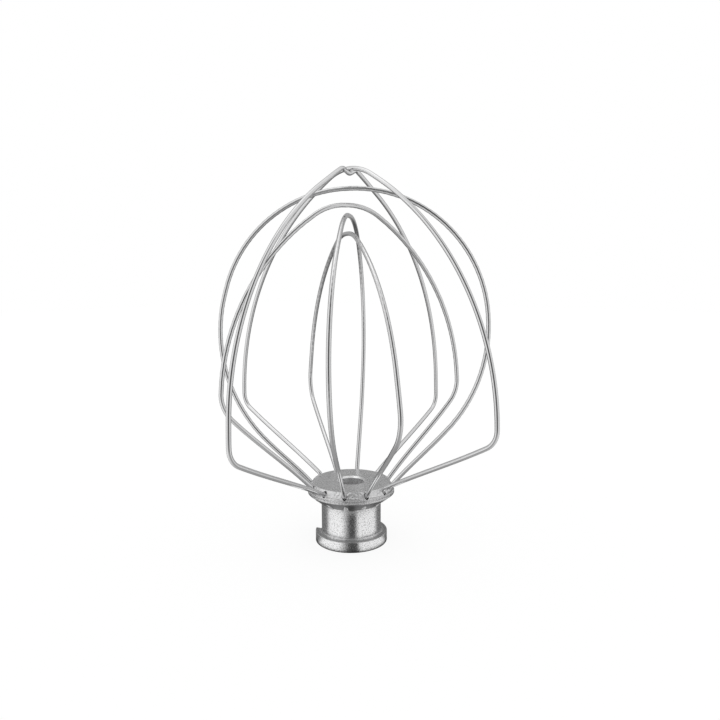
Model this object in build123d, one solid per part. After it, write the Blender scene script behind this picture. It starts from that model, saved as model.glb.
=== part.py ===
from build123d import *
from dataclasses import dataclass, field
from math import atan, atan2, cos, degrees, hypot, radians, sin, tan
import os

# Stand mixer wire whisk: a turned aluminium hub that holds both ends of six bent steel wire loops.
# It stands on the hub's collar with the cage upwards. The origin is the middle of the shaft bore's
# mouth, on the collar's foot, and the hub's axis is +Z. Lengths are millimetres, angles degrees.

# Hub: each step is measured outwards from the wall before it
NECK_DIAMETER = 24.7
NECK_LENGTH = 12.2
NECK_FILLET = 0.4
COLLAR_STEP = 2.55
COLLAR_HEIGHT = 4.4
COLLAR_FOOT_ROUND = 0.25
COLLAR_TOP_ROUND = 0.3
FLANGE_HEIGHT = 5.2
FLANGE_FILLET = 0.5
BOSS_OVERHANG = 3.55
BOSS_RISE = 3.6
BOSS_ROUND = 0.2
RIM_STEP = 2.05
RIM_EDGE = 0.9
RIM_LIP = 0.6
RIM_ROUND = 0.15
WALL_FOOT_HEIGHT = 1.1
WALL_FOOT_ROUND = 0.3
WALL_BEND_ROUND = 0.5

# Holes in the hub
BORE_DIAMETER = 13.0
BORE_CHAMFER = 0.6
ROOF_THICKNESS = 5.4
TOP_HOLE_DIAMETER = 10.6
TOP_HOLE_CHAMFER = 0.7
PIN_SLOT_WIDTH = 4.6
PIN_SLOT_HEIGHT = 11.0
PIN_SLOT_WALL = 2.35
PIN_SLOT_AZIMUTH = 106.4
PIN_MOUTH_WIDTH = 8.0
PIN_LOCK_TURN = 42.0

# Wire and its seats in the hub
WIRE_DIAMETER = 1.8
HOLE_CLEARANCE = 0.1
HOLE_LEAN = 22.0
MOUTH_RELIEF = 0.3
MOUTH_DEPTH = 2.6
SEAT_DROP = 2.0
SEAT_OVERHANG = 0.54
SEAT_BEND_RADIUS = 2.5
END_STICKOUT = 0.15
END_OVERRUN = 0.3

# Crowns of the loops above the wire seat, each measured from the one below it
SHORT_CROWN_HEIGHT = 103.1
NARROW_CROWN_RISE = 6.7
TALL_CROWN_RISE = 4.2
WIDE_CROWN_RISE = 6.5
OVER_TIP_RISE = 11.0

# Outer pair of loops: a low corner beside the hub, then a long brow up to the tip
NOTCHED_CORNER_REACH = 66.0
NOTCHED_CORNER_HEIGHT = 24.0
NOTCHED_BROW_RADIUS = 101.0
NOTCHED_LEAN = 1.0
OVER_CORNER_REACH = 65.0
OVER_CORNER_HEIGHT = 27.5
OVER_BROW_RADIUS = 110.0
OVER_LEAN = -0.8
OVER_SEAT_RISE = 1.8
OUTER_CORNER_RADIUS = 8.0
OUTER_BROW_REACH = 64.0
OUTER_BROW_DROP = 39.0

# Tips of the outer pair, where one loop lies in a notch of the other
OVER_TIP_RADIUS = 20.0
NOTCHED_TIP_DROP = 1.0
NOTCH_FLANK = 26.0
NOTCH_RADIUS = 2.2
NOTCH_PEAK_RADIUS = 2.0
TIP_GAP = 0.05

# Loop with a wide round arch
WIDE_FLANK_REACH = 59.5
WIDE_FLANK_HEIGHT = 42.5
WIDE_FLANK_RADIUS = 61.5
WIDE_ARCH_REACH = 46.3
WIDE_ARCH_RADIUS = 53.8
WIDE_LEAN = 4.7
WIDE_CROWN_LEAN = -6.0

# Tall loop with a marked shoulder
TALL_SHOULDER_REACH = 51.6
TALL_SHOULDER_HEIGHT = 35.8
TALL_SHOULDER_RADIUS = 14.8
TALL_BROW_REACH = 48.6
TALL_BROW_DROP = 28.9
TALL_BROW_RADIUS = 91.0
TALL_CROWN_REACH = 7.8
TALL_CROWN_RADIUS = 22.7
TALL_LEAN = 1.5
TALL_CROWN_LEAN = 0.9

# Loop with a narrow arch and soft sides
NARROW_FLANK_REACH = 38.1
NARROW_FLANK_HEIGHT = 28.7
NARROW_FLANK_RADIUS = 43.8
NARROW_BROW_REACH = 51.9
NARROW_BROW_DROP = 35.3
NARROW_BROW_RADIUS = 58.2
NARROW_CROWN_REACH = 13.9
NARROW_CROWN_RADIUS = 29.8
NARROW_LEAN = -5.5
NARROW_CROWN_LEAN = 0.8

# Lowest loop, with a marked shoulder
SHORT_SHOULDER_REACH = 52.5
SHORT_SHOULDER_HEIGHT = 32.0
SHORT_SHOULDER_RADIUS = 14.5
SHORT_BROW_REACH = 40.0
SHORT_BROW_DROP = 20.4
SHORT_BROW_RADIUS = 80.5
SHORT_CROWN_REACH = 6.7
SHORT_CROWN_RADIUS = 19.3
SHORT_LEAN = 3.4
SHORT_CROWN_LEAN = 3.4

# Share of a straight run that the two bends at its ends may take up together
RUN_SHARE = 0.99

# Radii and heights of the hub that follow from the sizes above
NECK = NECK_DIAMETER / 2
COLLAR = NECK + COLLAR_STEP
BOSS = NECK + BOSS_OVERHANG
RIM = BOSS + RIM_STEP
BORE = BORE_DIAMETER / 2
TOP_HOLE = TOP_HOLE_DIAMETER / 2
PIN_SLOT_REACH = NECK - PIN_SLOT_WALL
FLANGE_FOOT = COLLAR_HEIGHT + NECK_LENGTH
RIM_TOP = FLANGE_FOOT + FLANGE_HEIGHT
RIM_FOOT = RIM_TOP - RIM_EDGE
HUB_TOP = RIM_TOP + BOSS_RISE
BORE_DEPTH = HUB_TOP - ROOF_THICKNESS
UNDERSIDE_RISE = (RIM_FOOT - FLANGE_FOOT) / (RIM - NECK)
UNDERSIDE_ANGLE = atan(UNDERSIDE_RISE)

# Wire, its holes and the loops' crowns
WIRE = WIRE_DIAMETER / 2
WIRE_HOLE = (WIRE_DIAMETER + HOLE_CLEARANCE) / 2
HOLE_SLOPE = tan(radians(HOLE_LEAN))
WIRE_SEAT = HUB_TOP - SEAT_DROP
SEAT_REACH = BOSS + SEAT_OVERHANG
NARROW_CROWN = SHORT_CROWN_HEIGHT + NARROW_CROWN_RISE
TALL_CROWN = NARROW_CROWN + TALL_CROWN_RISE
WIDE_CROWN = TALL_CROWN + WIDE_CROWN_RISE
OVER_TIP = WIDE_CROWN + OVER_TIP_RISE
NOTCHED_TIP = OVER_TIP - NOTCHED_TIP_DROP
OUTER_BROW = OVER_TIP - OUTER_BROW_DROP


@dataclass
class Bend:
    """A corner of a loop: where two straight runs would meet above the wire seat, and its radius."""

    reach: float
    height: float
    radius: float


@dataclass
class Loop:
    """A wire loop in a plane through the axis, with the bends of one half from the hub upwards.

    The other half mirrors them, but the hand-bent loop leans to one side, by one amount at its foot
    and another at its crown. The tip holds the bends in the middle, from side to side.
    """

    name: str
    crown: float
    bends: list
    lean: float = 0.0
    crown_lean: float = 0.0
    seat_rise: float = 0.0
    tip: list = field(default_factory=list)


def wire_reach(height):
    """Distance of a wire end's centre line from the axis at a height."""
    return SEAT_REACH - (WIRE_SEAT - height) * HOLE_SLOPE


def hole_end():
    """Reach and height at which a straight hole is wholly through the flange's slanting underside."""
    start = FLANGE_FOOT + UNDERSIDE_RISE * (wire_reach(0) - NECK)
    middle = start / (1 - UNDERSIDE_RISE * HOLE_SLOPE)
    slant = radians(90 - HOLE_LEAN) - UNDERSIDE_ANGLE
    height = middle - (WIRE_HOLE / tan(slant) + END_OVERRUN) * cos(radians(HOLE_LEAN))
    return wire_reach(height), height


def fitting_radii(points, radii):
    """Corner radii along a path, each no larger than the straight runs beside it leave room for."""
    runs = [RUN_SHARE * hypot(b[0] - a[0], b[1] - a[1]) for a, b in zip(points, points[1:])]
    headings = [atan2(b[1] - a[1], b[0] - a[0]) for a, b in zip(points, points[1:])]
    tangents = [0]
    for before, after, radius in zip(headings, headings[1:], radii):
        half_turn = atan2(sin(after - before), cos(after - before)) / 2
        tangents.append(radius * abs(tan(half_turn)))
    tangents.append(0)
    shares = [run / max(run, a + b) for run, a, b in zip(runs, tangents, tangents[1:])]
    return [radius * min(a, b) for radius, a, b in zip(radii, shares, shares[1:])]


def hub_outline():
    """Half section of the hub as (radius, height, corner rounding), from the bore's mouth outwards."""
    return [
        (BORE + BORE_CHAMFER, 0, 0),
        (COLLAR, 0, COLLAR_FOOT_ROUND),
        (COLLAR, COLLAR_HEIGHT, COLLAR_TOP_ROUND),
        (NECK, COLLAR_HEIGHT, NECK_FILLET),
        (NECK, FLANGE_FOOT, FLANGE_FILLET),
        (RIM, RIM_FOOT, RIM_ROUND),
        (RIM, RIM_TOP, RIM_ROUND),
        (RIM - RIM_LIP, RIM_TOP, WALL_FOOT_ROUND),
        (RIM - RIM_LIP, RIM_TOP + WALL_FOOT_HEIGHT, WALL_BEND_ROUND),
        (BOSS, HUB_TOP, BOSS_ROUND),
        (TOP_HOLE + TOP_HOLE_CHAMFER, HUB_TOP, 0),
        (TOP_HOLE, HUB_TOP - TOP_HOLE_CHAMFER, 0),
        (TOP_HOLE, BORE_DEPTH, 0),
        (BORE, BORE_DEPTH, 0),
        (BORE, BORE_CHAMFER, 0),
    ]


def wire_holes(step):
    """Inclined drillings for the wire ends, a step apart, from the boss's wall through the flange.

    Each mouth is opened towards the rim, where the wire bends away from its hole.
    """
    end_reach, end_height = hole_end()
    top_reach = wire_reach(HUB_TOP)
    length = hypot(top_reach - end_reach, HUB_TOP - end_height)
    mouth_length = MOUTH_DEPTH + SEAT_DROP / cos(radians(HOLE_LEAN))
    inwards, downwards = end_reach - top_reach, end_height - HUB_TOP
    towards_rim = (-downwards, 0, inwards)
    start = Plane((top_reach, 0, HUB_TOP), x_dir=towards_rim, z_dir=(inwards, 0, downwards))
    from_top = (Align.CENTER, Align.CENTER, Align.MIN)
    drill = Cylinder(WIRE_HOLE, length, align=from_top)
    drill += Pos(MOUTH_RELIEF, 0, 0) * Cylinder(WIRE_HOLE, mouth_length, align=from_top)
    return [Rot(0, 0, step * place) * (start * drill) for place in range(round(360 / step))]


def pin_slot():
    """Bayonet slot in the bore's wall: straight up from the foot, then round to lock the cross pin.

    A wider mouth goes right through the collar, where the pin is led in.
    """
    lead_in = Pos(PIN_SLOT_REACH / 2, 0, PIN_SLOT_HEIGHT / 2) * Box(
        PIN_SLOT_REACH, PIN_SLOT_WIDTH, PIN_SLOT_HEIGHT
    )
    section = Pos(PIN_SLOT_REACH / 2, PIN_SLOT_HEIGHT - PIN_SLOT_WIDTH / 2) * Rectangle(
        PIN_SLOT_REACH, PIN_SLOT_WIDTH
    )
    edge_turn = degrees(atan2(PIN_SLOT_WIDTH / 2, PIN_SLOT_REACH))
    lock = revolve(Plane.XZ * section, Axis.Z, PIN_LOCK_TURN + edge_turn)
    mouth_length = 2 * (COLLAR - PIN_SLOT_REACH)
    mouth_height = COLLAR_HEIGHT + NECK_FILLET
    mouth = Pos(COLLAR, 0, mouth_height / 2) * Box(mouth_length, PIN_MOUTH_WIDTH, mouth_height)
    return Rot(0, 0, PIN_SLOT_AZIMUTH) * (lead_in + lock + mouth)


def make_hub(step):
    """The turned hub with its bore, bayonet slot and wire holes."""
    corners = hub_outline()
    points = [(radius, height) for radius, height, rounding in corners]
    roundings = [rounding for radius, height, rounding in corners]
    radii = fitting_radii([points[-1]] + points + [points[0]], roundings)
    section = make_face(FilletPolyline(points, radius=radii, close=True))
    hub = revolve(Plane.XZ * section, Axis.Z)
    hub -= wire_holes(step)
    hub -= pin_slot()
    return hub


def end_grinding():
    """What the wire ends lose under the flange: all that stands off its underside by more than the stick-out."""
    line_foot = FLANGE_FOOT - UNDERSIDE_RISE * NECK - END_STICKOUT / cos(UNDERSIDE_ANGLE)
    line_end = line_foot + UNDERSIDE_RISE * RIM
    section = make_face(Polyline((0, line_foot), (RIM, line_end), (RIM, 0), (0, 0), close=True))
    return revolve(Plane.XZ * section, Axis.Z)


def over_tip():
    """Tip of the crossing loop: one wide round bend."""
    return [Bend(0, OVER_TIP, OVER_TIP_RADIUS)]


def notched_tip():
    """Tip of the notched loop: two small peaks and, between them, a seat for the wire that crosses."""
    over_slope = atan2(OUTER_BROW_DROP, OUTER_BROW_REACH)
    over_middle = OVER_TIP - OVER_TIP_RADIUS * (1 / cos(over_slope) - 1)
    seat_middle = over_middle - WIRE_DIAMETER - TIP_GAP
    flank = radians(NOTCH_FLANK)
    bottom = seat_middle - NOTCH_RADIUS * (1 / cos(flank) - 1)
    roof_slope = (NOTCHED_TIP - OUTER_BROW) / OUTER_BROW_REACH
    peak_reach = (NOTCHED_TIP - bottom) / (roof_slope + tan(flank))
    peak_height = bottom + peak_reach * tan(flank)
    return [
        Bend(-peak_reach, peak_height, NOTCH_PEAK_RADIUS),
        Bend(0, bottom, NOTCH_RADIUS),
        Bend(peak_reach, peak_height, NOTCH_PEAK_RADIUS),
    ]


def loops():
    """The loops in their order round the hub, from the one that lies along X."""
    notched_bends = [
        Bend(NOTCHED_CORNER_REACH, NOTCHED_CORNER_HEIGHT, OUTER_CORNER_RADIUS),
        Bend(OUTER_BROW_REACH, OUTER_BROW, NOTCHED_BROW_RADIUS),
    ]
    over_bends = [
        Bend(OVER_CORNER_REACH, OVER_CORNER_HEIGHT, OUTER_CORNER_RADIUS),
        Bend(OUTER_BROW_REACH, OUTER_BROW, OVER_BROW_RADIUS),
    ]
    wide_bends = [
        Bend(WIDE_FLANK_REACH, WIDE_FLANK_HEIGHT, WIDE_FLANK_RADIUS),
        Bend(WIDE_ARCH_REACH, WIDE_CROWN, WIDE_ARCH_RADIUS),
    ]
    tall_bends = [
        Bend(TALL_SHOULDER_REACH, TALL_SHOULDER_HEIGHT, TALL_SHOULDER_RADIUS),
        Bend(TALL_BROW_REACH, TALL_CROWN - TALL_BROW_DROP, TALL_BROW_RADIUS),
        Bend(TALL_CROWN_REACH, TALL_CROWN, TALL_CROWN_RADIUS),
    ]
    narrow_bends = [
        Bend(NARROW_FLANK_REACH, NARROW_FLANK_HEIGHT, NARROW_FLANK_RADIUS),
        Bend(NARROW_BROW_REACH, NARROW_CROWN - NARROW_BROW_DROP, NARROW_BROW_RADIUS),
        Bend(NARROW_CROWN_REACH, NARROW_CROWN, NARROW_CROWN_RADIUS),
    ]
    short_bends = [
        Bend(SHORT_SHOULDER_REACH, SHORT_SHOULDER_HEIGHT, SHORT_SHOULDER_RADIUS),
        Bend(SHORT_BROW_REACH, SHORT_CROWN_HEIGHT - SHORT_BROW_DROP, SHORT_BROW_RADIUS),
        Bend(SHORT_CROWN_REACH, SHORT_CROWN_HEIGHT, SHORT_CROWN_RADIUS),
    ]
    return [
        Loop("outer_loop_notched", NOTCHED_TIP, notched_bends, NOTCHED_LEAN, tip=notched_tip()),
        Loop("arch_loop_narrow", NARROW_CROWN, narrow_bends, NARROW_LEAN, NARROW_CROWN_LEAN),
        Loop("shoulder_loop_short", SHORT_CROWN_HEIGHT, short_bends, SHORT_LEAN, SHORT_CROWN_LEAN),
        Loop("outer_loop_over", OVER_TIP, over_bends, OVER_LEAN, seat_rise=OVER_SEAT_RISE, tip=over_tip()),
        Loop("arch_loop_wide", WIDE_CROWN, wide_bends, WIDE_LEAN, WIDE_CROWN_LEAN),
        Loop("shoulder_loop_tall", TALL_CROWN, tall_bends, TALL_LEAN, TALL_CROWN_LEAN),
    ]


def loop_corners(loop):
    """Corners of a loop in its own plane as (across, height, bend radius), from end to end."""
    end_reach, end_height = hole_end()
    seat = WIRE_SEAT + loop.seat_rise
    sides = {}
    for side in (-1, 1):
        corners = [
            (side * end_reach, end_height, 0),
            (side * wire_reach(seat), seat, SEAT_BEND_RADIUS),
        ]
        for bend in loop.bends:
            share = (bend.height / loop.crown) ** 2
            shift = loop.lean * (1 - share) + loop.crown_lean * share
            corners.append((side * bend.reach + shift, WIRE_SEAT + bend.height, bend.radius))
        sides[side] = corners
    tip = [(bend.reach, WIRE_SEAT + bend.height, bend.radius) for bend in loop.tip]
    return sides[-1] + tip + sides[1][::-1]


def make_loop(loop, azimuth):
    """A round wire carried along straight runs and tangent bends in the loop's upright plane."""
    corners = loop_corners(loop)
    points = [(across, height) for across, height, radius in corners]
    radii = fitting_radii(points, [radius for across, height, radius in corners[1:-1]])
    turn = radians(azimuth)
    upright = Plane((0, 0, 0), x_dir=(cos(turn), sin(turn), 0), z_dir=(sin(turn), -cos(turn), 0))
    path = upright * FilletPolyline(points, radius=radii)
    section = Plane(path @ 0, z_dir=path % 0) * Circle(WIRE)
    return sweep(section, path=path) - end_grinding()


def main():
    os.makedirs("parts", exist_ok=True)
    cage = loops()
    step = 180 / len(cage)
    export_step(make_hub(step), "parts/hub.step")
    for place, loop in enumerate(cage):
        export_step(make_loop(loop, step * place), f"parts/{loop.name}.step")


main()
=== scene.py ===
# %% [markdown]
# # A wire whisk for a stand mixer
# Bent loops of polished steel wire fan out from a turned aluminium hub. The construction arrives as a
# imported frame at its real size. This lesson dresses that frame: each wire gets a smooth round skin with
# a drawn finish, the hub gets its tumbled grain, and a light tent gives the metal something to reflect.

# %% Load the frame
import bmesh
import bpy
from math import radians
import numpy as np
from mathutils import Matrix, Vector


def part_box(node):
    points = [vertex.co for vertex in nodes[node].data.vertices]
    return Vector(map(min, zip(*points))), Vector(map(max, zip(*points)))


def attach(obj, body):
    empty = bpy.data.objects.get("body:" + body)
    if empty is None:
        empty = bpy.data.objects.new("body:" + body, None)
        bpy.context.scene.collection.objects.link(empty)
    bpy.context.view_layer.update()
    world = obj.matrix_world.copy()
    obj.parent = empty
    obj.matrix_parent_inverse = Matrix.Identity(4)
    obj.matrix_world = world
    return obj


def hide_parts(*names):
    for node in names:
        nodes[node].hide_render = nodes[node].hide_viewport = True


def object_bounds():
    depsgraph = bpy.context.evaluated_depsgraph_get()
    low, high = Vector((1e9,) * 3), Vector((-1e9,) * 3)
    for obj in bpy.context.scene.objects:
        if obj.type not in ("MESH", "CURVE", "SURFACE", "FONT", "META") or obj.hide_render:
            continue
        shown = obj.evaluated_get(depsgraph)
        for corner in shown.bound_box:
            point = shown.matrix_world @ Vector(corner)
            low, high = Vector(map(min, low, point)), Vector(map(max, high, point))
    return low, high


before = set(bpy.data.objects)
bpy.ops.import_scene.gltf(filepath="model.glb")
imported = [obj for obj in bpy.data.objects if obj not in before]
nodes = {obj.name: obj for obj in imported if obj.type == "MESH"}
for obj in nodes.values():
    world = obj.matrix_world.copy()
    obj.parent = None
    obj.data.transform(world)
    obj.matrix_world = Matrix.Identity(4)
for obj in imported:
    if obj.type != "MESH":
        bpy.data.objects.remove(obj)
cad_low, cad_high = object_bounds()
print("frame:", sorted(nodes), "height", round(cad_high.z, 4))

# %% [markdown]
# ## The camera
# The picture is a square, taken slightly downwards from about two thirds of the whisk's height, with a
# short lens close by, so the near loops look larger than the far ones. The distance, the height and the
# lens were worked out together from how the loops cross in the picture, because a wrong lens can't be made
# up for by moving the camera.

# %% Place the camera
MILLIMETRES = 1000
LENS = 0.03268
SENSOR = 0.036
NEAREST_SEEN = 0.005
CAMERA_TURN = radians(-51.975)
CAMERA_PITCH = radians(7.18)
CAMERA_ROLL = radians(-0.214)
CAMERA_PLACE = Vector((0.0039, -0.2638, 0.1090))

facing = Matrix.Rotation(CAMERA_TURN, 4, "Z")
tilt = Matrix.Rotation(radians(90) - CAMERA_PITCH, 4, "X") @ Matrix.Rotation(CAMERA_ROLL, 4, "Z")
camera_data = bpy.data.cameras.new("camera")
camera_data.lens = LENS * MILLIMETRES
camera_data.sensor_width = SENSOR * MILLIMETRES
camera_data.clip_start = NEAREST_SEEN
camera = bpy.data.objects.new("camera", camera_data)
camera.matrix_world = facing @ Matrix.Translation(CAMERA_PLACE) @ tilt
bpy.context.scene.collection.objects.link(camera)
bpy.context.scene.camera = camera
bpy.context.scene.view_settings.view_transform = "Standard"
print("camera at", [round(x, 4) for x in camera.matrix_world.translation])

# %% [markdown]
# ## Grids of points
# Every new surface here is a grid of points: rows along one parameter, columns along the other. A grid that
# closes on itself in one direction is a tube. The points are worked out as one array and go into the mesh
# at once, which is much quicker than adding them one by one.

# %% Grids into meshes
def link(name, mesh):
    """A new object of that mesh in the scene."""
    piece = bpy.data.objects.new(name, mesh)
    bpy.context.scene.collection.objects.link(piece)
    return piece


def grid_quads(rows, columns, closed):
    """Corner numbers of the quads: (row, column), (row, next), (next row, next), (next row, column)."""
    spans = columns if closed else columns - 1
    row, column = np.meshgrid(np.arange(rows - 1), np.arange(spans), indexing="ij")
    after = (column + 1) % columns
    this_row, next_row = row * columns, (row + 1) * columns
    quads = [this_row + column, this_row + after, next_row + after, next_row + column]
    return np.stack(quads, -1).reshape(-1, 4)


def grid_mesh(name, points, closed=False):
    """A smooth mesh of a grid of points with the shape (rows, columns, 3)."""
    rows, columns, _ = points.shape
    quads = grid_quads(rows, columns, closed)
    mesh = bpy.data.meshes.new(name)
    mesh.from_pydata(points.reshape(-1, 3).tolist(), [], quads.tolist())
    mesh.polygons.foreach_set("use_smooth", np.ones(len(mesh.polygons), bool))
    return mesh


print("a tube of 3 rings with 4 points each has", len(grid_quads(3, 4, True)), "faces")

# %% [markdown]
# ## Nets of nodes
# A material is a small net of nodes, in which numbers and colours flow from one node to the next. Such a
# net can be drawn by hand in the editor. Written as code it can use the measures of the frame, and with
# helpers that add a node and hand back its result, a material reads like a sum.

# %% Nodes and their inputs
def feed(tree, socket, value):
    """Gives a socket a number, a vector, a colour or another node's result."""
    if isinstance(value, (int, float, tuple)):
        socket.default_value = value
    else:
        tree.links.new(value, socket)


def add_node(tree, kind, inputs=None, **settings):
    """A new node of a kind, with its settings made and its inputs fed by their names or numbers."""
    node = tree.nodes.new(kind)
    for setting, value in settings.items():
        setattr(node, setting, value)
    for key, value in (inputs or {}).items():
        feed(tree, node.inputs[key], value)
    return node


def empty_tree(owner):
    """The node tree of a material or a world, with nothing in it yet."""
    owner.use_nodes = True
    owner.node_tree.nodes.clear()
    return owner.node_tree


print("helpers for nodes ready")

# %% Sums of values
def maths(tree, operation, first, *others):
    """The result of an operation such as ADD, carried on from value to value."""
    for other in others:
        first = add_node(tree, "ShaderNodeMath", {0: first, 1: other}, operation=operation).outputs[0]
    return first


def vector_maths(tree, operation, *values):
    """A node that does an operation such as LENGTH on whole vectors."""
    return add_node(tree, "ShaderNodeVectorMath", dict(enumerate(values)), operation=operation)


def ramp(tree, value, source, target, shape="SMOOTHSTEP"):
    """The value carried from the source range to the target range, level outside it."""
    ends = {"From Min": source[0], "From Max": source[1], "To Min": target[0], "To Max": target[1]}
    node = add_node(tree, "ShaderNodeMapRange", {"Value": value, **ends}, interpolation_type=shape)
    return node.outputs["Result"]


print("helpers for sums ready")

# %% [markdown]
# ## Measures of the hub
# Some later steps have to fit the hub: the wires' ends, the card round its foot and the places where its
# finish changes. All of them are read from the hub's own faces, by where they lie and which way they look,
# so no size of the hub has to be typed in a second time.

# %% Corners of a node
def corners(node):
    """Position and normal at each corner of a node's faces."""
    mesh = node.data
    position = np.empty(len(mesh.vertices) * 3, np.float32)
    mesh.vertices.foreach_get("co", position)
    vertex = np.empty(len(mesh.loops), np.int32)
    mesh.loops.foreach_get("vertex_index", vertex)
    normal = np.empty(len(mesh.loops) * 3, np.float32)
    mesh.corner_normals.foreach_get("vector", normal)
    return position.reshape(-1, 3)[vertex].astype(float), normal.reshape(-1, 3).astype(float)


print("the hub's faces have", len(corners(nodes["hub"])[0]), "corners")

# %% Measure the hub
SQUARELY = 0.999
COLLAR_PART = 0.2
LEDGE_PART = 0.9
UNDERSIDE_LOOKS = (-0.95, -0.6)
SAME_HEIGHT = 0.00001
NEAR_AXIS = 0.001
hub_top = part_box("hub")[1].z
hub_middle = hub_top / 2


def hub_measures():
    """Collar radius, collar top and radius of the hole's edge in the hub's top face."""
    position, normal = corners(nodes["hub"])
    distance, height = np.hypot(position[:, 0], position[:, 1]), position[:, 2]
    outward = np.sum(position[:, :2] * normal[:, :2], axis=1) / np.maximum(distance, NEAR_AXIS)
    collar = distance[(outward > SQUARELY) & (height < COLLAR_PART * hub_top)].max()
    looks_up = (normal[:, 2] > SQUARELY) & (height < hub_middle)
    ledge = height[looks_up & (distance > LEDGE_PART * collar)].max()
    return collar, ledge, distance[height > hub_top - SAME_HEIGHT].min()


def flange_underside():
    """Foot, rise and top of the cone height = foot + rise * distance, fitted to the flange's lower face."""
    position, normal = corners(nodes["hub"])
    lowest, highest = UNDERSIDE_LOOKS
    looks_down = (normal[:, 2] > lowest) & (normal[:, 2] < highest)
    position = position[looks_down & (position[:, 2] > hub_middle)]
    rise, foot = np.polyfit(np.hypot(position[:, 0], position[:, 1]), position[:, 2], 1)
    return foot, rise, position[:, 2].max()


collar_radius, collar_top, hole_radius = hub_measures()
underside_foot, underside_rise, underside_top = flange_underside()
print("collar radius and top, hole radius:", np.round([collar_radius, collar_top, hole_radius], 5))
print("underside rises", round(float(underside_rise), 3), "to", round(float(underside_top), 4))

# %% [markdown]
# ## The light tent
# Polished metal has no look of its own: it shows what stands around it. Lamps alone would leave it black
# between their highlights, so a studio uses a tent, pale cloth around and above the object, with a gap for
# the camera. Each point of the cloth carries a tone: dark in front, where the camera stands, a bright panel
# at each side with the stronger lamp on the left, grey behind, brightest overhead, and the whisk's own
# shade on the table below it. A panel begins, is full, fades and ends at four turns from the camera.

# %% Soft edges
def smoothstep(low, high, x):
    """0 below low, 1 above high, and an S-shaped rise between them."""
    t = np.clip((x - low) / (high - low), 0, 1)
    return t * t * (3 - 2 * t)


def blend(first, second, share):
    """The first tone where the share is 0, the second where it is 1."""
    return first + (second - first) * share


def panel(edges, turn):
    """Share of a panel with soft edges: a rise between its first two edges, a fall between its last two."""
    begins, full, fades, ends = edges
    return smoothstep(begins, full, turn) * (1 - smoothstep(fades, ends, turn))


print("a soft edge in quarters:", smoothstep(0, 1, np.linspace(0, 1, 5)).round(2))

# %% Tones of the tent
LEFT_TONE = 0.92
RIGHT_TONE = 0.75
FRONT_TONE = 0.06
LOW_FRONT_TONE = 0.36
BACK_TONE = 0.42
LOW_BACK_TONE = 0.08
TOP_TONE = 1.2
TOP_LEAN = 0.25
TABLE_TONE = 0.26
FRONT_TABLE_TONE = 0.36
LEFT_PANEL = (4, 52, 72, 128)
RIGHT_PANEL = (12, 48, 100, 124)
INSIDE_PANEL = 60
FRONT_RISE = (-32, -6)
BACK_RISE = (-25, 5)
TOP_RISE = (39, 100)
TABLE_RISE = (-70, -22)
TABLE_TURN = (20, 80)
FOUR_SIDES = np.array([0, -65, 65, 180])


def tent_tone(turn, rise):
    """Tone by the turn from the camera and the rise above the whisk's middle, both in degrees.

    Two panels stand between front and back and hide where one changes to the other. Above and below, the
    cloth gives way to the top and the table.
    """
    front = blend(LOW_FRONT_TONE, FRONT_TONE, smoothstep(*FRONT_RISE, rise))
    back = blend(LOW_BACK_TONE, BACK_TONE, smoothstep(*BACK_RISE, rise))
    around = np.where(np.abs(turn) < INSIDE_PANEL, front, back)
    around = blend(around, LEFT_TONE, panel(LEFT_PANEL, -turn))
    around = blend(around, RIGHT_TONE, panel(RIGHT_PANEL, turn))
    overhead = TOP_TONE - TOP_LEAN * np.sin(np.radians(turn))
    table = blend(FRONT_TABLE_TONE, TABLE_TONE, smoothstep(*TABLE_TURN, np.abs(turn)))
    cloth = blend(around, overhead, smoothstep(*TOP_RISE, rise))
    return blend(table, cloth, smoothstep(*TABLE_RISE, rise))


print("tent tones front, left, right, back:", np.round(tent_tone(FOUR_SIDES, 0), 2))

# %% [markdown]
# The hub's neck and collar mirror the table close by, so they get surroundings of their own: a low tray of
# card round the foot, with a panel at each side again. A round neck squeezes what it mirrors: a ray that
# leaves it at an angle from the camera meets the tray at about three quarters of that angle.

# %% Tones of the tray
TRAY_LEFT_TONE = 0.95
TRAY_RIGHT_TONE = 0.86
TRAY_FRONT_TONE = 0.07
TRAY_BACK_TONE = 0.18
TRAY_LEFT_PANEL = (1, 41, 88, 114)
TRAY_RIGHT_PANEL = (15, 28, 100, 124)
TRAY_SQUEEZE = 0.73
TRAY_RADIUS = 0.022
COLLAR_SHADE = 0.003


def tray_tone(turn, radius):
    """Tone by the turn from the camera in degrees, darker towards the collar that stands on the card."""
    far = turn / TRAY_SQUEEZE
    tone = np.where(np.abs(far) < INSIDE_PANEL, TRAY_FRONT_TONE, TRAY_BACK_TONE)
    tone = blend(tone, TRAY_LEFT_TONE, panel(TRAY_LEFT_PANEL, -far))
    tone = blend(tone, TRAY_RIGHT_TONE, panel(TRAY_RIGHT_PANEL, far))
    return tone * smoothstep(collar_radius, collar_radius + COLLAR_SHADE, radius)


print("tray tones front, left, right, back:", np.round(tray_tone(FOUR_SIDES, TRAY_RADIUS), 2))

# %% [markdown]
# Tent and tray are turned surfaces: a half section goes once round the hub's axis. Only mirror-like rays
# meet them, so the picture's ground stays white and the floor keeps its light.

# %% Turned cloth
TURNS = np.linspace(-180, 180, 181)
to_camera = np.array(facing @ Vector((0, -1, 0)))
to_right = np.array(facing @ Vector((1, 0, 0)))


def tone_material(name):
    """Light of the strength that the surface's own tone attribute says."""
    material = bpy.data.materials.new(name)
    tree = empty_tree(material)
    tone = add_node(tree, "ShaderNodeAttribute", attribute_name="tone")
    light = add_node(tree, "ShaderNodeEmission", {"Strength": tone.outputs["Fac"]})
    add_node(tree, "ShaderNodeOutputMaterial", {"Surface": light.outputs["Emission"]})
    return material


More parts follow.
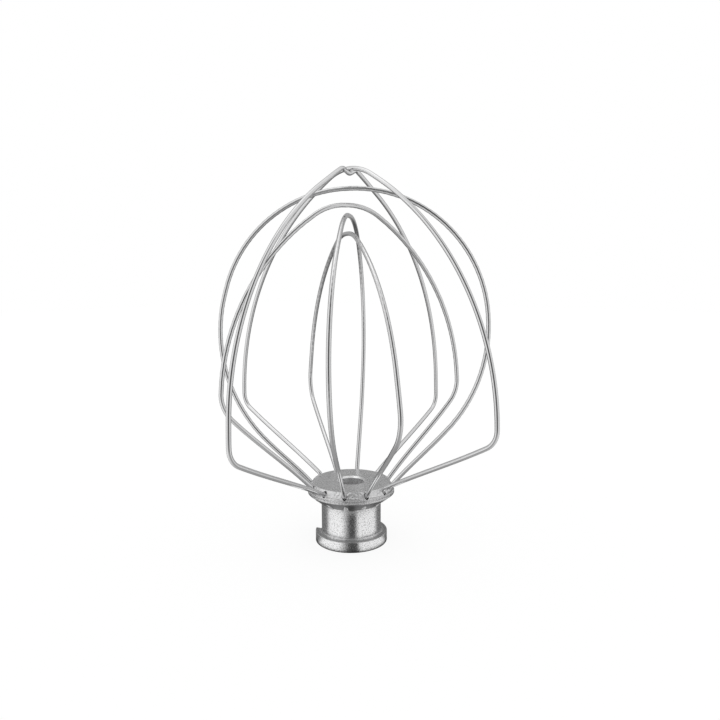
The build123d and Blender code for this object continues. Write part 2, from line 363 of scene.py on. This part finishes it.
def turned_cloth(name, radius, height, tone_values):
    """Turned surface (turn, profile) -> radius * (cos turn * to camera + sin turn * to right), height."""
    turn = np.radians(TURNS)[:, None]
    ring = np.cos(turn) * to_camera + np.sin(turn) * to_right
    points = radius[None, :, None] * ring[:, None, :]
    points[:, :, 2] = height
    mesh = grid_mesh(name, points)
    tone = mesh.attributes.new("tone", "FLOAT", "POINT")
    tone.data.foreach_set("value", tone_values.ravel().astype(np.float32))
    mesh.materials.append(tone_material(name))
    cloth = link(name, mesh)
    cloth.visible_camera = False
    cloth.visible_diffuse = False
    cloth.visible_shadow = False
    cloth.visible_transmission = False
    return cloth


print("cloth goes round in", len(TURNS) - 1, "steps")

# %% Tent and tray
TENT_RADIUS = 0.7
TENT_HEIGHT = 0.75
TRAY_HEIGHT = 0.012
TRAY_START = 0.97
CLOTH_LIFT = 0.00005
TABLE_RINGS = 24
WALL_RINGS = 24
ROOF_RINGS = 12
TRAY_RINGS = 16
whisk_middle = (cad_low.z + cad_high.z) / 2


def light_tent():
    """Half section of the tent as (radius, height): along the table, up the wall and in over the top."""
    table = np.geomspace(TRAY_RADIUS, TENT_RADIUS, TABLE_RINGS)
    wall = np.linspace(0, TENT_HEIGHT, WALL_RINGS)[1:]
    roof = np.linspace(TENT_RADIUS, 0, ROOF_RINGS)[1:]
    radius = np.concatenate([table, np.full(len(wall), TENT_RADIUS), roof])
    height = np.concatenate([np.full(len(table), CLOTH_LIFT), wall, np.full(len(roof), TENT_HEIGHT)])
    rise = np.degrees(np.arctan2(height - whisk_middle, radius))
    return turned_cloth("light_tent", radius, height, tent_tone(TURNS[:, None], rise[None, :]))


def foot_tray():
    """Half section of the tray as (radius, height): from under the collar out along the table, then up."""
    table = np.linspace(TRAY_START * collar_radius, TRAY_RADIUS, TRAY_RINGS)
    radius = np.append(table, TRAY_RADIUS)
    height = np.append(np.full(len(table), CLOTH_LIFT), TRAY_HEIGHT)
    return turned_cloth("foot_tray", radius, height, tray_tone(TURNS[:, None], radius[None, :]))


tent, tray = light_tent(), foot_tray()
print("tent and tray:", len(tent.data.polygons), "and", len(tray.data.polygons), "faces")

# %% [markdown]
# ## Floor and background
# The picture's ground is pure white. The light that the floor needs has a strength of its own, so the two
# are kept apart: white for whatever looks at the background straight, by mirror or through glass, and an
# even light for all else.

# %% White background
WHITE = (1, 1, 1, 1)
WORLD_LIGHT = 1.15


def seen_directly(tree):
    """1 for camera, glossy and transmission rays, and 0 for all others."""
    path = add_node(tree, "ShaderNodeLightPath").outputs
    return maths(tree, "MAXIMUM", path["Is Camera Ray"], path["Is Glossy Ray"], path["Is Transmission Ray"])


def white_world():
    """White ground for the eye, and an even pale light for everything else."""
    world = bpy.data.worlds.new("studio")
    bpy.context.scene.world = world
    tree = empty_tree(world)
    strength = ramp(tree, seen_directly(tree), (0, 1), (WORLD_LIGHT, 1), "LINEAR")
    ground = add_node(tree, "ShaderNodeBackground", {"Color": WHITE, "Strength": strength})
    add_node(tree, "ShaderNodeOutputWorld", {"Surface": ground.outputs["Background"]})


white_world()
print("background lights with", WORLD_LIGHT, "and looks white")

# %% [markdown]
# The floor mixes the same white with an ordinary matt surface, so the hub's soft shadow stays on it. Under
# the collar the floor is darker, because little light reaches the hub's bore through its slot and its
# hole.

# %% Studio floor
FLOOR_COLOUR = (0.9, 0.9, 0.9, 1)
FLOOR_HALF = 2.0
FLOOR_WHITE = 0.86
UNDER_WHITE = 0.60
SHADE_START = 0.80
SHADE_END = 0.98
BESIDE = (1, 1, 0)


def from_axis(tree, where):
    """Distance from the hub's axis: the length of (x, y, 0)."""
    beside = vector_maths(tree, "MULTIPLY", where.outputs["Object"], BESIDE)
    return vector_maths(tree, "LENGTH", beside.outputs["Vector"]).outputs["Value"]


def floor_material():
    """Matt white that the eye sees mostly as light of its own, and less so under the collar."""
    material = bpy.data.materials.new("studio_floor")
    tree = empty_tree(material)
    distance = from_axis(tree, add_node(tree, "ShaderNodeTexCoord"))
    edge = (SHADE_START * collar_radius, SHADE_END * collar_radius)
    white = ramp(tree, distance, edge, (UNDER_WHITE, FLOOR_WHITE), "LINEAR")
    share = maths(tree, "MULTIPLY", seen_directly(tree), white)
    matt = add_node(tree, "ShaderNodeBsdfDiffuse", {"Color": FLOOR_COLOUR}).outputs["BSDF"]
    glow = add_node(tree, "ShaderNodeEmission", {"Color": WHITE}).outputs["Emission"]
    mix = add_node(tree, "ShaderNodeMixShader", {0: share, 1: matt, 2: glow})
    add_node(tree, "ShaderNodeOutputMaterial", {"Surface": mix.outputs["Shader"]})
    return material


def studio_floor():
    """A flat square (x, y) -> (x, y, 0) under the collar's foot."""
    side = np.array([-FLOOR_HALF, FLOOR_HALF])
    x, y = np.meshgrid(side, side, indexing="ij")
    mesh = grid_mesh("studio_floor", np.stack([x, y, np.zeros_like(x)], -1))
    mesh.materials.append(floor_material())
    floor = link("studio_floor", mesh)


studio_floor()
print("floor of", 2 * FLOOR_HALF, "m each way")

# %% [markdown]
# ## The wires' centre lines
# A loop is one piece of round wire, bent in a plane that goes through the hub's axis. Its skin needs the
# line that the wire follows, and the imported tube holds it: a point of a tube's skin, moved inwards by the
# wire's radius against its normal, lands on the centre line. All points of one ring land on the same spot,
# so the spots, sorted by their angle round the loop's middle, are the line from one end to the other.
# Only what lies above the flange's underside counts, because the slanting ends are no rings.

# %% Find a wire's centre line
notched_low, notched_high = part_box("outer_loop_notched")
WIRE_RADIUS = (notched_high.y - notched_low.y) / 2
SAME_SPOT = 0.02 * WIRE_RADIUS


def centre_line(node):
    """Spots of a wire's centre line and the tangents there, as (across, height), and the way across.

    A spot is position - radius * normal. A tangent is the outward normal in the loop's plane, turned by a
    quarter.
    """
    position, normal = corners(node)
    above = position[:, 2] > underside_top
    position, normal = position[above], normal[above]
    spot = position - WIRE_RADIUS * normal
    across = np.linalg.svd(spot[:, :2], full_matrices=False)[2][0]
    flat = np.stack([spot[:, :2] @ across, spot[:, 2]], -1)
    middle = np.array([0, (flat[:, 1].min() + flat[:, 1].max()) / 2])
    outward = np.stack([normal[:, :2] @ across, normal[:, 2]], -1)
    outward = outward * np.sign(np.sum(outward * (flat - middle), axis=1))[:, None]
    order = np.argsort(np.arctan2(flat[:, 0], flat[:, 1] - middle[1]))
    flat, outward = flat[order], outward[order]
    step = np.linalg.norm(np.diff(flat, axis=0), axis=1)
    first = np.concatenate([[0], 1 + np.flatnonzero(step > SAME_SPOT)])
    size = np.diff(np.append(first, len(flat)))[:, None]
    spots = np.add.reduceat(flat, first) / size
    normals = np.add.reduceat(outward, first)
    normals = normals / np.linalg.norm(normals, axis=1)[:, None]
    tangents = np.stack([normals[:, 1], -normals[:, 0]], -1)
    return spots, tangents, np.array([across[0], across[1], 0.0])


spots, tangents, across = centre_line(nodes["outer_loop_notched"])
ends = np.round(spots[[0, -1]] * MILLIMETRES, 2).tolist()
print("notched loop:", len(spots), "spots, ends", ends, "mm")

# %% [markdown]
# Between two spots the line is a cubic that leaves and arrives along the tangents, which follows a bend's
# arc closely. Straight pieces between the spots would show as corners in the mirror of the polished wire.

# %% Points along a wire
RING_SPACING = 0.0006


def resample(spots, tangents, spacing):
    """Points and tangents along the line: p = h00 p0 + h10 c t0 + h01 p1 + h11 c t1, with c the chord."""
    chord = np.linalg.norm(np.diff(spots, axis=0), axis=1)
    along = np.concatenate([[0], np.cumsum(chord)])
    want = np.linspace(0, along[-1], int(along[-1] / spacing) + 1)
    part = np.clip(np.searchsorted(along, want, side="right") - 1, 0, len(chord) - 1)
    t = ((want - along[part]) / chord[part])[:, None]
    c = chord[part][:, None]
    p0, p1, t0, t1 = spots[part], spots[part + 1], tangents[part], tangents[part + 1]
    point = (1 + 2 * t) * (1 - t) ** 2 * p0 + t * (1 - t) ** 2 * c * t0
    point = point + t * t * (3 - 2 * t) * p1 + t * t * (t - 1) * c * t1
    slope = np.gradient(point, axis=0)
    return point, slope / np.linalg.norm(slope, axis=1)[:, None], want


print("notched loop:", len(resample(spots, tangents, RING_SPACING)[0]), "rings above the underside")

# %% [markdown]
# ## The wires' ground ends
# Below its last bend a wire runs straight through its hole in the flange, and its end is ground to the
# slope of the flange's underside. Each line of the skin goes on until it meets that cone, and a low dome
# closes it. Cutting a longer tube with a solid cone would do as well, but it leaves an uneven mesh.

# %% Ground ends
END_STANDOFF = 0.00015
END_DOME = 0.00012
END_ROWS = 8
DOME_ROWS = 5
CONE_STEPS = 12
UP = np.array([0.0, 0.0, 1.0])


def end_rows(ring, heading):
    """Rows from a wire's last ring to its ground end: ring + s * heading, with s where the cone is met.

    The cone is met where height + s * heading.z = foot + rise * distance, less the stand-off. Each step
    lengthens s by what is still missing.
    """
    lean = np.hypot(1, underside_rise)
    foot = underside_foot - END_STANDOFF * lean
    length = np.zeros(len(ring))
    for _ in range(CONE_STEPS):
        there = ring + length[:, None] * heading
        miss = there[:, 2] - foot - underside_rise * np.hypot(there[:, 0], there[:, 1])
        length = length + miss / abs(heading[2])
    share = np.linspace(0, 1, END_ROWS + 1)[1:, None, None]
    tube = ring + share * length[:, None] * heading
    middle = tube[-1].mean(axis=0)
    out = np.array([middle[0], middle[1], 0]) / np.hypot(middle[0], middle[1])
    ground = (underside_rise * out - UP) / lean
    turn = np.linspace(0, np.pi / 2, DOME_ROWS + 1)[1:, None, None]
    cap = middle + np.cos(turn) * (tube[-1] - middle) + END_DOME * np.sin(turn) * ground
    return np.concatenate([tube, cap])


print("each end has", END_ROWS, "rows of tube and", DOME_ROWS, "of dome")

# %% [markdown]
# ## The wires' skins
# The skin is a circle carried along the line. A curve with a round bevel would give a plain tube, but cold
# bending flattens a wire a little across a tight bend, so here the circle is squeezed where the line
# curves. The skin also gets a map, around and along the wire, for the drawn lines of its finish.

# %% Map and closed ends
WIRE_SIDES = 32
SAME_POINT = 1e-8


def skin_map(mesh):
    """The mesh with a map of its skin: u goes once around the wire, v along it at about the same scale."""
    column = np.tile(np.array([0, 1, 1, 0]), len(mesh.polygons))
    row = np.tile(np.array([0, 0, 1, 1]), len(mesh.polygons))
    quad = np.repeat(np.arange(len(mesh.polygons)), 4)
    around = (quad % WIRE_SIDES + column) / WIRE_SIDES
    along = (quad // WIRE_SIDES + row) * RING_SPACING / (2 * np.pi * WIRE_RADIUS)
    mesh.uv_layers.new(name="skin").data.foreach_set("uv", np.stack([around, along], -1).ravel())
    return mesh


def close_poles(mesh):
    """The mesh with the points that fall together merged, as the last ring of an end's dome does."""
    shape = bmesh.new()
    shape.from_mesh(mesh)
    bmesh.ops.remove_doubles(shape, verts=shape.verts, dist=SAME_POINT)
    shape.to_mesh(mesh)
    shape.free()
    return mesh


print("wire radius", round(WIRE_RADIUS, 5), "with", WIRE_SIDES, "sides")

# %% Skin of a wire
BEND_FLATTENING = 0.10
BEND_BLUR = 5


def wire_skin(name, node):
    """Tube (s, a) -> line(s) + r * (squeeze * cos a * normal + sin a / squeeze * sideways), and ends."""
    spots, tangents, across = centre_line(node)
    line, tangent, along = resample(spots, tangents, RING_SPACING)
    curve = np.linalg.norm(np.gradient(tangent, along, axis=0), axis=1)
    curve = np.convolve(curve, np.ones(BEND_BLUR) / BEND_BLUR, "same")
    squeeze = (1 - BEND_FLATTENING * WIRE_RADIUS * curve)[:, None, None]
    spine = line[:, :1] * across + line[:, 1:] * UP
    forward = tangent[:, :1] * across + tangent[:, 1:] * UP
    normal = -tangent[:, 1:] * across + tangent[:, :1] * UP
    angle = np.linspace(0, 2 * np.pi, WIRE_SIDES, endpoint=False)[None, :, None]
    rings = squeeze * np.cos(angle) * normal[:, None, :] + np.sin(angle) / squeeze * np.cross(across, UP)
    rings = spine[:, None, :] + WIRE_RADIUS * rings
    head = end_rows(rings[0], -forward[0])[::-1]
    tail = end_rows(rings[-1], forward[-1])
    return close_poles(skin_map(grid_mesh(name, np.concatenate([head, rings, tail]), closed=True)))


print("a bend flattens the wire by", BEND_FLATTENING, "times wire radius over bend radius")

# %% [markdown]
# Each skin stands for its node. It has the node's form and place and goes with the same body.

# %% The six wires
WIRES = {
    "wire_outer_notched": "outer_loop_notched",
    "wire_outer_over": "outer_loop_over",
    "wire_arch_wide": "arch_loop_wide",
    "wire_shoulder_tall": "shoulder_loop_tall",
    "wire_arch_narrow": "arch_loop_narrow",
    "wire_shoulder_short": "shoulder_loop_short",
}


def make_wire(name, node_name):
    """A wire's skin as a piece that stands for its node."""
    piece = link(name, wire_skin(name, nodes[node_name]))
    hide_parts(node_name)
    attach(piece, "root")
    return piece


wires = [make_wire(name, node_name) for name, node_name in WIRES.items()]
print("wires:", {wire.name: len(wire.data.polygons) for wire in wires})

# %% [markdown]
# ## Bare metal
# Both finishes are bare metal: a grey with hardly any tint, a roughness that blurs what it mirrors, and
# fine relief. All three vary with cloudy noise, because an even grey would look like plastic.

# %% Metal helpers
CLOUDS = (0.3, 0.7)


def grain(tree, place, scale, detail):
    """Cloudy noise, mostly within CLOUDS, at a place in space or on the surface."""
    noise = add_node(tree, "ShaderNodeTexNoise", {"Vector": place, "Scale": scale, "Detail": detail})
    return noise.outputs["Fac"]


def new_material(name):
    """A material with its shader, and its node tree."""
    material = bpy.data.materials.new(name)
    material.use_nodes = True
    return material, material.node_tree


def bare_metal(tree, tint, grey, roughness, height, depth):
    """Feeds the shader as metal: colour tint * grey, the roughness, and relief of a depth in metres."""
    colour = add_node(tree, "ShaderNodeVectorMath", {0: tint, "Scale": grey}, operation="SCALE")
    bump = add_node(tree, "ShaderNodeBump", {"Height": height, "Distance": depth})
    shader = tree.nodes["Principled BSDF"].inputs
    feed(tree, shader["Metallic"], 1)
    feed(tree, shader["Base Color"], colour.outputs["Vector"])
    feed(tree, shader["Roughness"], roughness)
    feed(tree, shader["Normal"], bump.outputs["Normal"])


print("metal helpers ready")

# %% [markdown]
# ## Polished steel wire
# The wire was drawn through a die and polished, so it is nearly a mirror with very fine lines along it. The
# lines come from noise on the skin's own map, squeezed around the wire and stretched along it. A shader
# that only stretches the highlights would show no single lines.

# %% Wire material
STEEL = (1.0, 1.0, 1.005)
STEEL_GREY = (0.76, 0.86)
STEEL_ROUGHNESS = (0.09, 0.17)
GROUND_END_ROUGHER = 0.4
GROUND_EDGE = 0.0002
LINES_AROUND = 26.0
LINES_ALONG = 0.4
LINE_DETAIL = 2.0
LINE_DEPTH = 0.000004


def polished_steel():
    """Mirror-like steel with drawn lines in its grey, its roughness and its relief."""
    material, tree = new_material("polished_steel")
    skin = add_node(tree, "ShaderNodeUVMap", uv_map="skin")
    stretched = vector_maths(tree, "MULTIPLY", skin.outputs["UV"], (LINES_AROUND, LINES_ALONG, 1))
    lines = grain(tree, stretched.outputs["Vector"], 1, LINE_DETAIL)
    where = add_node(tree, "ShaderNodeTexCoord")
    height = add_node(tree, "ShaderNodeSeparateXYZ", {0: where.outputs["Object"]}).outputs["Z"]
    end = ramp(tree, height, (underside_top - GROUND_EDGE, underside_top), (GROUND_END_ROUGHER, 0))
    rough = maths(tree, "ADD", ramp(tree, lines, CLOUDS, STEEL_ROUGHNESS), end)
    bare_metal(tree, STEEL, ramp(tree, lines, CLOUDS, STEEL_GREY), rough, lines, LINE_DEPTH)
    return material


steel = polished_steel()
for wire in wires:
    wire.data.materials.append(steel)
print("steel on", len(wires), "wires")

# %% [markdown]
# ## Tumbled aluminium hub
# The hub was turned from bar and tumbled with stones, which leaves a satin skin with a fine grain of dark
# pits. The finish differs from place to place. The boss's slanting wall is a little rougher and dented by
# the stones. It has no dark pits, and neither has the clean chamfer of the top hole. The inside of the hole
# stays as drilled and the faces that look straight up are slightly greyer. Painted shade darkens the faces
# that look down, under the flange and at the collar's foot, and the outer band of the collar's ledge. The
# places are told apart by their height, their distance from the axis and how far their faces look up, so
# the hub's mesh needs no marks of its own.

# %% Places on the hub
ON = (0, 1)
OFF = (1, 0)
HOLE_EDGE = 0.0002
SLANT_BEGINS = (0.1, 0.3)
SLANT_ENDS = (0.6, 0.9)
CHAMFER_UP = (0.5, 0.6)
HOLE_UP = (0.2, 0.5)
UNDER_UP = (-0.75, -0.45)
FLAT_UP = (0.95, 0.99)
LEDGE_UP = (0.5, 0.9)
LEDGE_LOW = 0.0002
LEDGE_HIGH = 0.0006
LEDGE_SHADE_BAND = 0.0014
LEDGE_EDGE = 0.0004
# painted shade covers the outer band of the collar's ledge, from this distance from the axis outwards
painted_shade_radius = collar_radius - LEDGE_SHADE_BAND


def hub_places(tree, where):
    """Shares from 0 to 1 of the places whose finish or painted shade differs, as products of ramps."""
    up = add_node(tree, "ShaderNodeSeparateXYZ", {0: where.outputs["Normal"]}).outputs["Z"]
    height = add_node(tree, "ShaderNodeSeparateXYZ", {0: where.outputs["Object"]}).outputs["Z"]
    distance = from_axis(tree, where)
    outside = ramp(tree, distance, (hole_radius, hole_radius + HOLE_EDGE), ON)
    inside = maths(tree, "SUBTRACT", 1, outside)
    low = ramp(tree, height, (collar_top + LEDGE_LOW, collar_top + LEDGE_HIGH), OFF)
    outer = ramp(tree, distance, (painted_shade_radius - LEDGE_EDGE, painted_shade_radius), ON)
    slant = maths(tree, "MULTIPLY", ramp(tree, up, SLANT_BEGINS, ON), ramp(tree, up, SLANT_ENDS, OFF))
    return {
        "slant": maths(tree, "MULTIPLY", slant, outside),
        "chamfer": maths(tree, "MULTIPLY", inside, ramp(tree, up, CHAMFER_UP, ON)),
        "hole": maths(tree, "MULTIPLY", inside, ramp(tree, up, HOLE_UP, OFF)),
        # faces that look down, under the flange and at the collar's foot, get painted shade
        "under": ramp(tree, up, UNDER_UP, OFF),
        "flat": ramp(tree, up, FLAT_UP, ON),
        # the outer band of the collar's ledge gets painted shade
        "ledge": maths(tree, "MULTIPLY", low, ramp(tree, up, LEDGE_UP, ON), outer),
    }


# the printed distance is where the ledge's painted shade starts
print("the ledge's residue starts", round(float(painted_shade_radius), 4), "from the axis")

# %% [markdown]
# A picture of real metal could be laid over the hub, but noise in space needs no map and shows no seam.

# %% Hub material
ALUMINIUM = (1.0, 1.0, 1.005)
ALUMINIUM_GREY = 0.92
SATIN = (0.18, 0.28)
ROUGHER = {"slant": 0.16, "hole": 0.3, "under": 0.2, "ledge": 0.35}
# grey of the painted shade on faces that look down
UNDER_PAINTED_SHADE = 0.30
FLAT_GREY = 0.87
# grey of the painted shade on the outer band of the collar's ledge
LEDGE_PAINTED_SHADE = 0.70
PIT_SCALE = 2300.0
PIT_DETAIL = 3.0
PIT_DEPTH = 0.00006
PIT_RANGE = (0.34, 0.52)
PIT_GREY = (0.55, 1.0)
DENT_SCALE = 1100.0
DENT_DETAIL = 1.0
DENT_DEPTH = 0.0004


def tumbled_aluminium():
    """Satin aluminium: pits in its grey and relief, dents on the slanting wall, and painted shade by place.
    """
    material, tree = new_material("tumbled_aluminium")
    where = add_node(tree, "ShaderNodeTexCoord")
    at = hub_places(tree, where)
    pits = grain(tree, where.outputs["Object"], PIT_SCALE, PIT_DETAIL)
    rougher = [maths(tree, "MULTIPLY", at[place], amount) for place, amount in ROUGHER.items()]
    rough = maths(tree, "ADD", ramp(tree, pits, CLOUDS, SATIN), *rougher)

    burnished = maths(tree, "ADD", at["slant"], at["chamfer"])
    specks = maths(tree, "MAXIMUM", ramp(tree, pits, PIT_RANGE, PIT_GREY), burnished)
    # painted shade: faces that look down, under the flange and at the collar's foot, are darkened
    under = ramp(tree, at["under"], ON, (1, UNDER_PAINTED_SHADE), "LINEAR")
    flat = ramp(tree, at["flat"], ON, (1, FLAT_GREY), "LINEAR")
    # painted shade: the outer band of the collar's ledge is darkened
    ledge = ramp(tree, at["ledge"], ON, (1, LEDGE_PAINTED_SHADE))
    grey = maths(tree, "MULTIPLY", specks, under, flat, ledge, ALUMINIUM_GREY)

    dents = grain(tree, where.outputs["Object"], DENT_SCALE, DENT_DETAIL)
    dents = maths(tree, "MULTIPLY", dents, at["slant"], DENT_DEPTH / PIT_DEPTH)
    bare_metal(tree, ALUMINIUM, grey, rough, maths(tree, "ADD", pits, dents), PIT_DEPTH)
    return material


nodes["hub"].data.materials[0] = tumbled_aluminium()
print("aluminium on the hub")
